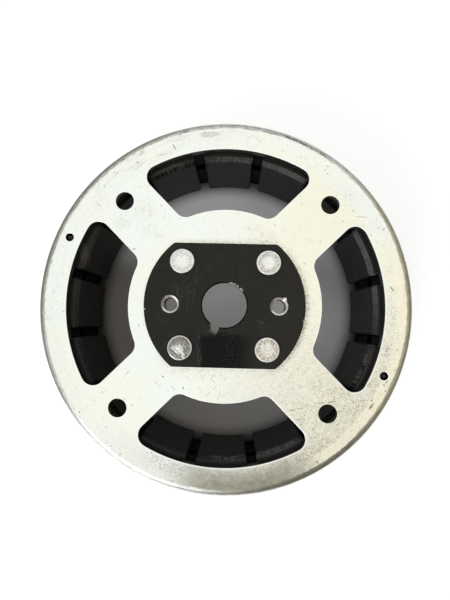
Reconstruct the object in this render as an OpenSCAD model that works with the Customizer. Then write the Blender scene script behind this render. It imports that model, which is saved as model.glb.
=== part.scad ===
// Outer rotor of a permanent-magnet generator: a drawn steel yoke cup with windows in its web,
// a riveted steel hub with a keyed taper bore, and a ring of arc magnets held in two plastic cages.
// Millimetres. The open rim stands on z = 0, and the axis of rotation is Z.

/* [Yoke cup] */
// Outside diameter of the skirt
yoke_d = 190; // [170:1:240]
// Height from the rim to the outside of the web
yoke_h = 62; // [50:1:90]
// Thickness of the skirt wall
wall_t = 5; // [4:0.5:6]
// Thickness of the web
web_t = 4; // [3:0.5:6]
// Radius of the drawn corner outside, between web and skirt
corner_r = 3.5; // [2:0.5:5]
// Radius of the corner inside, between web and skirt
inner_corner_r = 0.8; // [0.4:0.1:0.8]
// Chamfer on both edges of the rim
rim_chamfer = 0.8; // [0.2:0.1:1.5]

/* [Windows and spokes] */
// Width of the web's rim, from the skirt's outside to the windows
web_rim_w = 14.2; // [11:0.1:18]
// Width of the web's land between the hub's flange and the windows
web_land_w = 9; // [5:0.1:12]
// Width of each spoke between two windows
spoke_w = 30.5; // [26:0.1:36]
// Fillet radius in the windows' corners
window_fillet_r = 6; // [4:0.5:9]

/* [Holes in the web] */
// Diameter of the four fan holes in the spokes
fan_hole_d = 9.3; // [6:0.1:11]
// Distance from the skirt's outside to the centre of a fan hole
fan_hole_in = 20.5; // [19:0.5:30]
// Diameter of the two holes that locate the magnet cage
locating_hole_d = 4; // [3:0.5:5]
// Flat left between a locating hole and the skirt's inner corner
locating_land_w = 0.1; // [0.1:0.1:2]

/* [Hub] */
// Width of the flange outside the rivet heads, at its round ends
flange_rim_w = 3.8; // [1:0.1:8]
// Width of the flange outside the rivet heads, at its flats
flange_flat_w = 3.4; // [1:0.1:8]
// Thickness of the hub flange
flange_t = 5; // [4:0.5:9]
// Chamfer around the flange's outer face
flange_chamfer = 0.5; // [0.2:0.1:1]
// Wall of the boss around the bore's wide end
boss_wall = 7.1; // [5:0.1:12]
// Length of the hub from the flange's face to the boss's end
hub_l = 35; // [24:1:40]
// Radial clearance between the boss and the web
boss_clearance = 0.1; // [0.05:0.05:0.3]
// Diameter of the taper bore at the flange's face
bore_small_d = 22; // [18:0.2:24]
// Taper of the bore, as the gain in diameter for each millimetre of length
bore_taper = 0.2; // [0.1:0.02:0.25]
// Chamfer at the bore's mouth
bore_chamfer = 0.6; // [0.2:0.1:1]
// Width of the keyway
key_w = 5; // [4:0.5:6]
// Depth of the keyway at the bore's wide end
key_depth = 0.7; // [0.4:0.1:3]
// Angle of the keyway from the +X axis, in degrees
key_angle = -114; // [-180:0.5:180]

/* [Rivets and puller holes] */
// Distance between the boss and the nearest edge of a rivet's head
rivet_land_w = 2.7; // [1:0.1:8]
// Diameter of a rivet's shank
rivet_d = 8; // [6:0.5:9]
// Radial clearance around a rivet's shank
rivet_clearance = 0.1; // [0.05:0.05:0.2]
// Diameter of a rivet's flat head
rivet_head_d = 12.2; // [11:0.2:14]
// Height of a rivet's flat head
rivet_head_h = 1.4; // [1:0.1:2.5]
// Radius of the shallow dish in a rivet's flat head
rivet_dish_r = 4.8; // [3:0.1:5]
// Depth of that dish
rivet_dish_h = 0.3; // [0.1:0.05:0.6]
// Height of the head that is formed inside the web
rivet_tail_h = 2.6; // [2:0.1:4]
// Width of web left between the boss's hole and a puller hole
puller_land_w = 2; // [0.5:0.1:8]
// Core diameter of a puller hole's M8 thread
puller_core_d = 6.8; // [5:0.1:7]
// Depth of the countersink over a puller hole
puller_sink_h = 1; // [0.5:0.1:2]
// Radial clearance in the web around a puller hole's thread core; none where the web is tapped too
puller_web_clearance = 0; // [0:0.1:2]

/* [Magnets] */
// Number of magnets around the skirt
magnet_count = 16; // [16:4:20]
// Radial thickness of a magnet
magnet_t = 12.4; // [8:0.1:14]
// Glue gap between a magnet and the skirt
glue_gap = 0.1; // [0.05:0.05:0.3]
// Width of the gap between two magnets
magnet_gap = 5.3; // [4:0.1:7]
// Chamfer along the two curved inner edges of a magnet
magnet_chamfer = 2.25; // [1:0.05:3]
// Chamfer along the two straight inner edges of a magnet
magnet_side_chamfer = 0.8; // [0.3:0.1:1.5]

/* [Magnet cages] */
// Height of the upper cage's ring, between the web and the magnets
upper_ring_h = 4; // [2:0.5:6]
// Height of the lower cage's ring, below the magnets
lower_ring_h = 2; // [1:0.5:4]
// Depth of the lower cage's ring inside the rim
cage_recess = 2; // [1:0.5:8]
// Radial thickness of the cages
cage_t = 6.9; // [4:0.1:8]
// Length of the upper cage's ribs along the magnets
upper_rib_l = 18; // [12:1:22]
// Open length between the two cages' ribs
rib_break = 7.5; // [2:0.5:12]
// Clearance between a rib and the magnets on its two sides
rib_clearance = 0.1; // [0.05:0.05:0.3]
// Clearance between the upper cage's edge and the skirt's inner corner
corner_clearance = 0.2; // [0.1:0.1:0.5]
// Radial clearance around a locating peg in its hole
peg_clearance = 0.6; // [0.1:0.1:0.8]
// Depth of a locating peg's end below the web's outside
peg_recess = 0.8; // [0.2:0.1:2]

/* [Hidden] */
$fn = 96;
EPS = 0.01;
SPOKE_ANGLES = [45, 135, 225, 315];
LOCATING_ANGLES = [-22.5, 157.5];

yoke_r = yoke_d / 2;
skirt_in_r = yoke_r - wall_t;
web_under_z = yoke_h - web_t;
flange_top_z = yoke_h + flange_t;
hub_end_z = flange_top_z - hub_l;

bore_small_r = bore_small_d / 2;
bore_wide_r = bore_small_r + hub_l * bore_taper / 2;
key_floor_r = bore_wide_r + key_depth;
boss_r = bore_wide_r + boss_wall;
boss_hole_r = boss_r + boss_clearance;
puller_core_r = puller_core_d / 2;
puller_web_r = puller_core_r + puller_web_clearance;
puller_r = boss_hole_r + puller_land_w + puller_web_r;
rivet_head_r = rivet_head_d / 2;
rivet_hole_r = rivet_d / 2 + rivet_clearance;
dish_sphere_r = (pow(rivet_dish_r, 2) + pow(rivet_dish_h, 2)) / (2 * rivet_dish_h);
rivet_r = boss_r + rivet_land_w + rivet_head_r;
flange_r = rivet_r + rivet_head_r + flange_rim_w;
flange_half_w = rivet_r * sin(45) + rivet_head_r + flange_flat_w;

window_in_r = flange_r + web_land_w;
window_out_r = yoke_r - web_rim_w;
fan_hole_r = yoke_r - fan_hole_in;
locating_r = skirt_in_r - inner_corner_r - locating_land_w - locating_hole_d / 2;

magnet_out_r = skirt_in_r - glue_gap;
magnet_in_r = magnet_out_r - magnet_t;
magnet_top_z = web_under_z - upper_ring_h;
magnet_end_z = cage_recess + lower_ring_h;
magnet_l = magnet_top_z - magnet_end_z;
magnet_pitch = 360 / magnet_count;
cage_in_r = magnet_out_r - cage_t;
rib_w = magnet_gap - 2 * rib_clearance;
lower_rib_l = magnet_l - upper_rib_l - rib_break;
peg_r = locating_hole_d / 2 - peg_clearance;

function two_digits(n) = str(n < 10 ? "0" : "", n);
MAGNETS = [for (i = [1:magnet_count]) str("magnet_", two_digits(i))];
RIVETS = [for (i = [1:len(SPOKE_ANGLES)]) str("rivet_", i)];

// A square corner region of side r with its quarter round left out, at the origin
module round_corner(r) {
    difference() {
        square(r + 1);
        circle(r);
    }
}

// Half section of the cup, as radius and height
module yoke_section() {
    difference() {
        square([yoke_r, yoke_h]);
        translate([yoke_r - corner_r, yoke_h - corner_r]) round_corner(corner_r);
        difference() {
            translate([-1, -1]) square([skirt_in_r + 1, web_under_z + 1]);
            translate([skirt_in_r - inner_corner_r, web_under_z - inner_corner_r])
                round_corner(inner_corner_r);
        }
        polygon([[yoke_r - rim_chamfer, 0], [yoke_r + 1, rim_chamfer + 1], [yoke_r + 1, -1],
                 [yoke_r - rim_chamfer, -1]]);
        polygon([[skirt_in_r + rim_chamfer, 0], [skirt_in_r + rim_chamfer, -1],
                 [skirt_in_r - 1, -1], [skirt_in_r - 1, rim_chamfer + 1]]);
    }
}

function polar(r, a) = r * [cos(a), sin(a)];

// Points of an arc from angle a0 to a1, in n steps
function arc(centre, r, a0, a1, n) = [for (i = [0:n]) centre + polar(r, a0 + (a1 - a0) * i / n)];

function inner_points(list) = [for (i = [1:len(list) - 2]) list[i]];

// Angle of a fillet's centre at radius r, touching the edge of the spoke at 45 degrees
function fillet_angle(r) = 45 - asin((spoke_w / 2 + window_fillet_r) / r);

// One window about the +X axis, between the spokes at 45 and -45 degrees
module window_shape() {
    out_r = window_out_r - window_fillet_r;
    in_r = window_in_r + window_fillet_r;
    out_a = fillet_angle(out_r);
    in_a = fillet_angle(in_r);
    side = concat(arc(polar(out_r, out_a), window_fillet_r, out_a, 135, 12),
                  arc(polar(in_r, in_a), window_fillet_r, 135, 180 + in_a, 12));
    other_side = [for (i = [len(side) - 1:-1:0]) [side[i][0], -side[i][1]]];
    polygon(concat(inner_points(arc([0, 0], window_out_r, -out_a, out_a, 40)), side,
                   inner_points(arc([0, 0], window_in_r, in_a, -in_a, 24)), other_side));
}

module yoke_cup() {
    color("gainsboro") difference() {
        rotate_extrude($fn = 180) yoke_section();
        for (turn = [0:90:270]) rotate(turn)
            translate([0, 0, web_under_z - 1]) linear_extrude(web_t + 2) window_shape();
        translate([0, 0, web_under_z - 1]) cylinder(h = web_t + 2, r = boss_hole_r);
        for (a = SPOKE_ANGLES) rotate(a) {
            translate([fan_hole_r, 0, web_under_z - 1]) cylinder(h = web_t + 2, d = fan_hole_d);
            translate([rivet_r, 0, web_under_z - 1])
                cylinder(h = web_t + 2, r = rivet_hole_r);
        }
        for (side = [-1, 1]) translate([side * puller_r, 0, web_under_z - 1])
            cylinder(h = web_t + 2, r = puller_web_r);
        for (a = LOCATING_ANGLES) rotate(a) translate([locating_r, 0, web_under_z - 1])
            cylinder(h = web_t + 2, d = locating_hole_d);
    }
}

// Half section of a disc of radius r and height h with its upper edge chamfered
module chamfered_half(r, h, chamfer) {
    if (chamfer > 0) polygon([[0, 0], [r, 0], [r, h - chamfer], [r - chamfer, h], [0, h]]);
    else square([r, h]);
}

// Flange with round ends and two flats, chamfered round its outer face
module flange() {
    intersection() {
        rotate_extrude($fn = 180) chamfered_half(flange_r, flange_t, flange_chamfer);
        rotate([90, 0, 90]) translate([0, 0, -2 * flange_r]) linear_extrude(4 * flange_r)
            for (flip = [0, 1]) mirror([flip, 0])
                chamfered_half(flange_half_w, flange_t, flange_chamfer);
    }
}

module taper_bore() {
    step = bore_taper / 2;
    translate([0, 0, hub_end_z - 1])
        cylinder(h = hub_l + 2, r1 = bore_wide_r + step, r2 = bore_small_r - step);
    translate([0, 0, flange_top_z - bore_chamfer])
        cylinder(h = bore_chamfer + 1, r1 = bore_small_r, r2 = bore_small_r + bore_chamfer + 1);
    rotate(key_angle) translate([0, -key_w / 2, hub_end_z - 1])
        cube([key_floor_r, key_w, hub_l + 2]);
}

module puller_hole() {
    translate([0, 0, yoke_h - 1]) cylinder(h = flange_t + 2, r = puller_core_r);
    translate([0, 0, flange_top_z - puller_sink_h])
        cylinder(h = puller_sink_h + 1, r1 = puller_core_r, r2 = puller_core_r + puller_sink_h + 1);
}

module hub() {
    boss_l = hub_l - flange_t;
    color("#2b2b29") difference() {
        union() {
            translate([0, 0, yoke_h]) flange();
            translate([0, 0, hub_end_z + boss_l + EPS]) mirror([0, 0, 1])
                rotate_extrude() chamfered_half(boss_r, boss_l + EPS, 1);
        }
        taper_bore();
        for (side = [-1, 1]) translate([side * puller_r, 0, 0]) puller_hole();
        for (a = SPOKE_ANGLES) rotate(a) translate([rivet_r, 0, yoke_h - 1])
            cylinder(h = flange_t + 2, r = rivet_hole_r);
    }
}

// A rivet with a flat head outside and a formed head inside, on the spoke at angle a
module rivet(a) {
    edge = 0.5;
    color("silver") rotate(a) translate([rivet_r, 0, 0]) {
        translate([0, 0, flange_top_z]) rotate_extrude($fn = 64) difference() {
            square([rivet_head_r, rivet_head_h]);
            translate([rivet_head_r - edge, rivet_head_h - edge]) round_corner(edge);
            translate([0, rivet_head_h - rivet_dish_h + dish_sphere_r]) circle(dish_sphere_r, $fn = 720);
        }
        translate([0, 0, web_under_z - EPS]) cylinder(h = web_t + flange_t + 2 * EPS, d = rivet_d);
        translate([0, 0, web_under_z]) mirror([0, 0, 1]) rotate_extrude($fn = 64)
            chamfered_half(rivet_head_r - edge, rivet_tail_h, rivet_tail_h / 2);
    }
}

// Plan of one magnet, whose middle lies at angle a
module magnet_plan(a) {
    reach = 2 * yoke_r;
    half = magnet_pitch / 2;
    offset_r = magnet_gap / 2 / sin(half);
    corner_a = half - asin(magnet_gap / 2 / magnet_in_r);
    rotate(a) intersection() {
        difference() {
            circle(magnet_out_r, $fn = 180);
            circle(magnet_in_r, $fn = 180);
            for (flip = [0, 1]) mirror([0, flip]) translate(polar(magnet_in_r, corner_a))
                rotate(135 + (half + corner_a) / 2)
                    translate([-magnet_side_chamfer * sin(45), -magnet_side_chamfer - 1])
                        square(2 * magnet_side_chamfer + 2);
        }
        translate([offset_r, 0])
            polygon([[0, 0], reach * [cos(half), -sin(half)], reach * [cos(half), sin(half)]]);
    }
}

// Ring of triangular section that takes a magnet's inner edge away, its point facing up or down
module edge_chamfer(z, up) {
    c = magnet_chamfer;
    translate([0, 0, z]) rotate_extrude($fn = 180)
        polygon([[magnet_in_r - 1, -up * (c + 1)], [magnet_in_r - 1, up], [magnet_in_r + c + 1, up]]);
}

module magnet(i) {
    color("#3a3a3c") difference() {
        translate([0, 0, magnet_end_z]) linear_extrude(magnet_l) magnet_plan((i - 1) * magnet_pitch);
        edge_chamfer(magnet_top_z, 1);
        edge_chamfer(magnet_end_z, -1);
    }
}

// Cage ring from z to z + h, its upper outer edge chamfered
module cage_ring(z, h, chamfer = 0) {
    translate([0, 0, z]) rotate_extrude($fn = 180) difference() {
        chamfered_half(magnet_out_r, h, chamfer);
        translate([-1, -1]) square([cage_in_r + 1, h + 2]);
    }
}

// Ribs between the magnets, from z to z + h
module cage_ribs(z, h) {
    translate([0, 0, z]) intersection() {
        cage_ring(0, h);
        for (i = [1:magnet_count]) rotate((i - 0.5) * magnet_pitch)
            translate([0, -rib_w / 2, 0]) cube([yoke_r, rib_w, h]);
    }
}

module upper_magnet_cage() {
    peg_foot = upper_ring_h / 2;
    color("#1b1d20") {
        cage_ring(magnet_top_z, upper_ring_h, inner_corner_r + corner_clearance);
        cage_ribs(magnet_top_z - upper_rib_l, upper_rib_l + EPS);
        for (a = LOCATING_ANGLES) rotate(a) translate([locating_r, 0, web_under_z - peg_foot])
            cylinder(h = peg_foot + web_t - peg_recess, r = peg_r);
    }
}

module lower_magnet_cage() {
    color("#1b1d20") {
        cage_ring(cage_recess, lower_ring_h);
        cage_ribs(magnet_end_z - EPS, lower_rib_l);
    }
}

yoke_cup();
hub();
for (i = [1:len(RIVETS)]) rivet(SPOKE_ANGLES[i - 1]);
for (i = [1:magnet_count]) magnet(i);
upper_magnet_cage();
lower_magnet_cage();
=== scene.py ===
# Outer rotor of a permanent-magnet generator, lying on its open rim.
import math
from types import SimpleNamespace

import bmesh
import bpy
from mathutils import Euler, Matrix, Vector


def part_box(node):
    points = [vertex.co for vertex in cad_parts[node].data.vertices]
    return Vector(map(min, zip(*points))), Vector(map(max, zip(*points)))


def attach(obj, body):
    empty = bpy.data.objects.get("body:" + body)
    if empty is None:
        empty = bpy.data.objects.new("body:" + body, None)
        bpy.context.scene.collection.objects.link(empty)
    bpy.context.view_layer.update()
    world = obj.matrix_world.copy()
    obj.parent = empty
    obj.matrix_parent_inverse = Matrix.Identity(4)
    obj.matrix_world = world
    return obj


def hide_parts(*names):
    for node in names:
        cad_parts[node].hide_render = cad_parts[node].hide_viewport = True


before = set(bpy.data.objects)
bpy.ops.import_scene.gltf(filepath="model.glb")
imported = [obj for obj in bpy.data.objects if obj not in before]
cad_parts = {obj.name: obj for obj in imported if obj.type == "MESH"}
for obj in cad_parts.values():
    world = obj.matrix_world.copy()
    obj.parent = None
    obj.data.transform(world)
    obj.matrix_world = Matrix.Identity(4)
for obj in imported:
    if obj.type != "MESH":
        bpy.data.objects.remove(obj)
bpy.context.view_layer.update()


# ---- Yoke cup ---------------------------------------------------------------------------------
# A deep-drawn steel cup, about 5 mm thick, that closes the magnets' field. The web is blanked
# with four windows, four fan holes and two locating holes, and the whole cup is zinc plated.

MM = 0.001
FULL_TURN = 2 * math.pi
YOKE_R = 95.0 * MM
YOKE_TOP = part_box("yoke_cup")[1].z
WALL = 5.0 * MM
WEB_UNDER = YOKE_TOP - 4.0 * MM
SKIRT_IN_R = YOKE_R - WALL
DRAW_R = 3.5 * MM
DRAW_DROP = 2.6 * MM
INNER_DRAW_R = 0.8 * MM
RIM_CHAMFER = 0.8 * MM
RIM_EASE = 0.25 * MM
WINDOW_OUT_R = 80.8 * MM
WINDOW_IN_R = 49.3 * MM
SPOKE_HALF_W = 15.25 * MM
WINDOW_FILLET = 6.0 * MM
DIAGONALS = (45, 135, 225, 315)
FAN_RING_R = 74.5 * MM
FAN_HOLE_R = 4.65 * MM
LOCATING_RING_R = 87.1 * MM
LOCATING_HOLE_R = 2.0 * MM
LOCATING_ANGLES = (-22.5, 157.5)
PULLER_R = 27.1 * MM
THREAD_CREST_R = 3.4 * MM
THREAD_ROOT_R = 3.95 * MM
THREAD_PITCH = 1.25 * MM
THREAD_FLANK = 1.25
THREAD_STEPS = 60
THREAD_LAYER = 0.105 * MM
THREAD_LAND = 0.3 * MM
SINK_SLOPE = 1.3
CHIP_DEPTH = 1.1 * MM
CHIP_HALF_ANGLE = 0.22
CHIP_LAYERS = 8
RIVET_R = 30.4 * MM
RIVET_HOLE_R = 4.1 * MM
RIVET_HOLE_STEPS = 32
BOSS_HOLE_R = 21.7 * MM
hub_low, hub_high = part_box("hub")
FLANGE_R = hub_high.x
FLANGE_HALF_W = hub_high.y
PUNCHED_EDGE = 0.30 * MM
BURNISHED_HIGHLIGHT_BAND = 0.7 * MM
BURR_EDGE = 0.12 * MM
CUT_START = 0.15 * MM
LATHE_STEPS = 256


def polar(radius, angle):
    """The point this far from the axis, at this angle in radians."""
    return Vector((radius * math.cos(angle), radius * math.sin(angle), 0))


def arc(centre, radius, start, end, steps, ends=True):
    """Points of an arc about a centre; without its ends it joins arcs that have theirs."""
    angles = [start + (end - start) * i / steps for i in range(steps + 1)]
    if not ends:
        angles = angles[1:-1]
    return [Vector((centre[0], centre[1], 0)) + polar(radius, a) for a in angles]


def circle(centre, radius, steps):
    """Points of a whole circle, the last not a copy of the first."""
    return [Vector((centre[0], centre[1], 0)) + polar(radius, FULL_TURN * i / steps)
            for i in range(steps)]


def quarter_turn(steps):
    """Evenly spaced angles from 0 to a right angle."""
    return [math.radians(90 * i / steps) for i in range(steps + 1)]


def bend(start, corner, end, steps=3):
    """Points from start to end along a smooth curve that is drawn towards a corner."""
    return [start * (1 - t) ** 2 + corner * 2 * t * (1 - t) + end * t ** 2
            for t in [i / steps for i in range(steps + 1)]]


def eased(profile, radius, steps=3):
    """An open profile of (radius, height) points with its inner corners rounded."""
    result = [profile[0]]
    for before, corner, after in zip(profile, profile[1:], profile[2:]):
        a, b, c = Vector(before), Vector(corner), Vector(after)
        reach = min(radius, (a - b).length * 0.45, (c - b).length * 0.45)
        curve = bend(b + (a - b).normalized() * reach, b, b + (c - b).normalized() * reach,
                     steps)
        result += [tuple(point) for point in curve]
    return result + [profile[-1]]


def loop(bm, points, z, **marks):
    """Vertices of one closed loop; marks are attributes that its vertices carry."""
    verts = [bm.verts.new((p[0], p[1], z)) for p in points]
    for name, value in marks.items():
        layer = bm.verts.layers.float[name]
        for vert in verts:
            vert[layer] = value
    return verts


def skin(bm, loops, finish=0):
    """Quads between closed loops that follow each other, in one of the piece's finishes."""
    for first, second in zip(loops, loops[1:]):
        for i in range(len(first)):
            face = bm.faces.new((first[i - 1], first[i], second[i], second[i - 1]))
            face.material_index = finish


def lid(bm, loops):
    """One flat face that reaches from the outermost loop to the others."""
    edges = []
    for ring in loops:
        for i in range(len(ring)):
            edges.append(bm.edges.get((ring[i - 1], ring[i]))
                         or bm.edges.new((ring[i - 1], ring[i])))
    bmesh.ops.triangle_fill(bm, use_beauty=True, edges=edges)


def lathe(bm, profile, steps=LATHE_STEPS):
    """Closed loops about Z, one for each (radius, height) of the profile, skinned together."""
    loops = [loop(bm, circle((0, 0), r, steps), z) for r, z in profile]
    skin(bm, loops)
    return loops


def punched(bm, outline, edge):
    """Wall of a hole punched in the web, rolled over at the top; returns its end loops."""
    rolled = edge == PUNCHED_EDGE
    # a painted highlight lies on the burnished rolled edge and fades out over a band of the flat
    # top round it
    loops = [loop(bm, outline(edge + BURNISHED_HIGHLIGHT_BAND), YOKE_TOP)] if rolled else []
    for t in quarter_turn(3):
        loops.append(loop(bm, outline(edge * (1 - math.sin(t))),
                          YOKE_TOP - edge * (1 - math.cos(t)), worn_edge=float(rolled)))
    # the cut wall carries a mark for its painted shade
    loops.append(loop(bm, outline(0), YOKE_TOP - edge - CUT_START, cut_wall=1.0))
    loops.append(loop(bm, outline(0), WEB_UNDER + BURR_EDGE, cut_wall=1.0))
    loops.append(loop(bm, outline(BURR_EDGE), WEB_UNDER))
    skin(bm, loops)
    return loops[0], loops[-1]


def hole(distance, degrees, radius, steps):
    """Outline of a round hole this far from the axis, larger all round by grow."""
    centre = polar(distance, math.radians(degrees))
    return lambda grow: circle(centre, radius + grow, steps)


def window(degrees):
    """Outline of one window, larger all round by grow."""
    turn = Matrix.Rotation(math.radians(degrees), 3, "Z")
    out_c, in_c = WINDOW_OUT_R - WINDOW_FILLET, WINDOW_IN_R + WINDOW_FILLET
    out_a = math.pi / 4 - math.asin((SPOKE_HALF_W + WINDOW_FILLET) / out_c)
    in_a = math.pi / 4 - math.asin((SPOKE_HALF_W + WINDOW_FILLET) / in_c)
    flank = math.radians(135)

    def outline(grow):
        side = (arc(polar(out_c, out_a), WINDOW_FILLET + grow, out_a, flank, 10)
                + arc(polar(in_c, in_a), WINDOW_FILLET + grow, flank, math.pi + in_a, 10))
        mirrored = [Vector((p.x, -p.y, 0)) for p in reversed(side)]
        points = (arc((0, 0), WINDOW_OUT_R + grow, -out_a, out_a, 36, ends=False) + side
                  + arc((0, 0), WINDOW_IN_R - grow, in_a, -in_a, 20, ends=False) + mirrored)
        return [turn @ p for p in points]
    return outline


def tapped_wall(bm, centre, top, under, sink_r, chip_at=None, **marks):
    """Threaded hole, countersunk to sink_r: a helical groove between crest and root radius.
    In the web it carries marks; in the flange it has the finish of cut steel."""
    plain = circle(centre, THREAD_ROOT_R + THREAD_LAND, THREAD_STEPS)
    loops = [loop(bm, plain, top)] if marks else []
    depth = top - under
    layers = round(depth / THREAD_LAYER)
    for layer in range(layers + 1):
        z = top - depth * layer / layers
        points = []
        for i in range(THREAD_STEPS):
            a = FULL_TURN * i / THREAD_STEPS
            phase = (z / THREAD_PITCH - i / THREAD_STEPS) % 1.0
            groove = max(0.0, 1 - abs(phase - 0.5) * 2 * THREAD_FLANK)
            radius = THREAD_CREST_R + (THREAD_ROOT_R - THREAD_CREST_R) * groove
            radius = max(radius, sink_r - (top - z) * SINK_SLOPE)
            if chip_at is not None and layer < CHIP_LAYERS:
                off = (a - chip_at + math.pi) % FULL_TURN - math.pi
                left = 1 - layer / CHIP_LAYERS
                radius += CHIP_DEPTH * math.exp(-(off / CHIP_HALF_ANGLE) ** 2) * left
            points.append(Vector((centre[0], centre[1], 0)) + polar(radius, a))
        loops.append(loop(bm, points, z, **marks))
    if marks:
        loops.append(loop(bm, plain, under))
    skin(bm, loops, finish=0 if marks else 1)
    return loops[0], loops[-1]


def finish_mesh(bm, name, sharp_angle=40):
    """Turns a bmesh into an object with outward faces, smooth up to sharp_angle degrees."""
    bmesh.ops.remove_doubles(bm, verts=bm.verts, dist=1e-7)
    bmesh.ops.recalc_face_normals(bm, faces=bm.faces)
    mesh = bpy.data.meshes.new(name)
    bm.to_mesh(mesh)
    bm.free()
    mesh.shade_smooth()
    mesh.set_sharp_from_angle(angle=math.radians(sharp_angle))
    piece = bpy.data.objects.new(name, mesh)
    bpy.context.scene.collection.objects.link(piece)
    return piece


def keep_flats_flat(piece):
    """Shades the flat faces as flat right up to the small rounded edges round them."""
    normals = piece.modifiers.new("flat faces", "WEIGHTED_NORMAL")
    normals.keep_sharp = True
    normals.weight = 100


def new_bmesh(*marks):
    """A bmesh whose vertices can carry these marks."""
    bm = bmesh.new()
    for name in marks:
        bm.verts.layers.float.new(name)
    return bm


def make_yoke():
    bm = new_bmesh("worn_edge", "cut_wall")
    profile = [(YOKE_R - DRAW_R * (1 - math.sin(t)), YOKE_TOP - DRAW_DROP * (1 - math.cos(t)))
               for t in quarter_turn(10)]
    profile += eased([profile[-1], (YOKE_R, RIM_CHAMFER), (YOKE_R - RIM_CHAMFER, 0),
                      (SKIRT_IN_R + RIM_CHAMFER, 0), (SKIRT_IN_R, RIM_CHAMFER),
                      (SKIRT_IN_R, WEB_UNDER - INNER_DRAW_R)], RIM_EASE)[1:]
    profile += [(SKIRT_IN_R - INNER_DRAW_R * (1 - math.cos(t)),
                 WEB_UNDER - INNER_DRAW_R * (1 - math.sin(t))) for t in quarter_turn(4)[1:]]
    loops = lathe(bm, profile)
    holes = [(window(a), PUNCHED_EDGE) for a in (0, 90, 180, 270)]
    holes += [(hole(FAN_RING_R, a, FAN_HOLE_R, 48), BURR_EDGE) for a in DIAGONALS]
    holes += [(hole(RIVET_R, a, RIVET_HOLE_R, RIVET_HOLE_STEPS), BURR_EDGE) for a in DIAGONALS]
    holes += [(hole(LOCATING_RING_R, a, LOCATING_HOLE_R, 40), PUNCHED_EDGE)
              for a in LOCATING_ANGLES]
    holes += [(hole(0, 0, BOSS_HOLE_R, 96), BURR_EDGE)]
    ends = [punched(bm, outline, edge) for outline, edge in holes]
    ends += [tapped_wall(bm, (side * PULLER_R, 0), YOKE_TOP, WEB_UNDER, 0, cut_wall=1.0)
             for side in (-1, 1)]
    tops, unders = zip(*ends)
    lid(bm, [loops[0], *tops])
    lid(bm, [loops[-1], *unders])
    return finish_mesh(bm, "zinc_yoke_cup")


yoke = make_yoke()
keep_flats_flat(yoke)


def plug(tree, socket, value):
    """Gives an input its value: a number, a place, a colour, another node or its output."""
    if isinstance(value, bpy.types.Node):
        value = next(o for o in value.outputs if o.enabled)
    if isinstance(value, bpy.types.NodeSocket):
        tree.links.new(value, socket)
    elif socket.type == "RGBA":
        socket.default_value = (*value, 1.0)
    else:
        socket.default_value = value


def add(tree, kind, inputs=None, **settings):
    """One node with its settings and its inputs."""
    node = tree.nodes.new(kind)
    for name, value in settings.items():
        setattr(node, name, value)
    for key, value in (inputs or {}).items():
        plug(tree, node.inputs[key], value)
    return node


def maths(tree, operation, *values):
    """One Math node."""
    return add(tree, "ShaderNodeMath", dict(enumerate(values)), operation=operation)


def grade(tree, value, low, high, to_low=0.0, to_high=1.0):
    """Takes value from the range low..high to to_low..to_high, with soft ends."""
    return add(tree, "ShaderNodeMapRange", {"Value": value, "From Min": low, "From Max": high,
                                            "To Min": to_low, "To Max": to_high},
               interpolation_type="SMOOTHSTEP")


def noise(tree, where, scale, detail, rough, distortion=0.0):
    return add(tree, "ShaderNodeTexNoise", {"Vector": where, "Scale": scale, "Detail": detail,
                                            "Roughness": rough, "Distortion": distortion})


def grains(tree, where, scale, detail, rough, low, high):
    """Noise of which only the peaks are left, from the level low up to the level high."""
    return grade(tree, noise(tree, where, scale, detail, rough), low, high)


def streaks(tree, where, degrees, along, across, detail, rough):
    """Noise drawn out at this angle: along and across are its scales in the two directions."""
    turned = add(tree, "ShaderNodeMapping",
                 {"Vector": where, "Rotation": (0, 0, math.radians(-degrees))})
    drawn = add(tree, "ShaderNodeMapping", {"Vector": turned, "Scale": (along, across, across)})
    return noise(tree, drawn, 1, detail, rough)


def strongest(tree, *values):
    """The largest of these values."""
    result = values[0]
    for value in values[1:]:
        result = maths(tree, "MAXIMUM", result, value)
    return result


def times(tree, *values):
    """The product of these values."""
    result = values[0]
    for value in values[1:]:
        result = maths(tree, "MULTIPLY", result, value)
    return result


def spot(tree, place, x, y, length, width=None, degrees=0, height=YOKE_TOP, depth=3.0):
    """A soft oval mark, in mm but for its height: 1 in its middle, falling to 0 at its edge."""
    oval = add(tree, "ShaderNodeMapping",
               {"Vector": place, "Location": (x * MM, y * MM, height),
                "Rotation": (0, 0, math.radians(degrees)),
                "Scale": (length / 2 * MM, (width or length) / 2 * MM, depth * MM)},
               vector_type="TEXTURE")
    return add(tree, "ShaderNodeTexGradient", {"Vector": oval},
               gradient_type="SPHERICAL").outputs["Fac"]


def scratches(tree, place, *marks, height=YOKE_TOP):
    """Fine lines between pairs of places in mm, each given as x1, y1, x2, y2, width."""
    lines = []
    for x1, y1, x2, y2, width in marks:
        lines.append(spot(tree, place, (x1 + x2) / 2, (y1 + y2) / 2,
                          math.hypot(x2 - x1, y2 - y1) * 1.25, width * 2,
                          math.degrees(math.atan2(y2 - y1, x2 - x1)), height))
    return grade(tree, strongest(tree, *lines), 0.08, 0.55)


def hairline(tree, place, width, *points, height=YOKE_TOP):
    """A fine line through these places in mm."""
    return scratches(tree, place, *[(*a, *b, width) for a, b in zip(points, points[1:])],
                     height=height)


def pits(tree, place, *marks):
    """Small round marks in mm, each given as x, y, size."""
    return grade(tree, strongest(tree, *[spot(tree, place, *mark) for mark in marks]), 0.1, 0.5)


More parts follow.
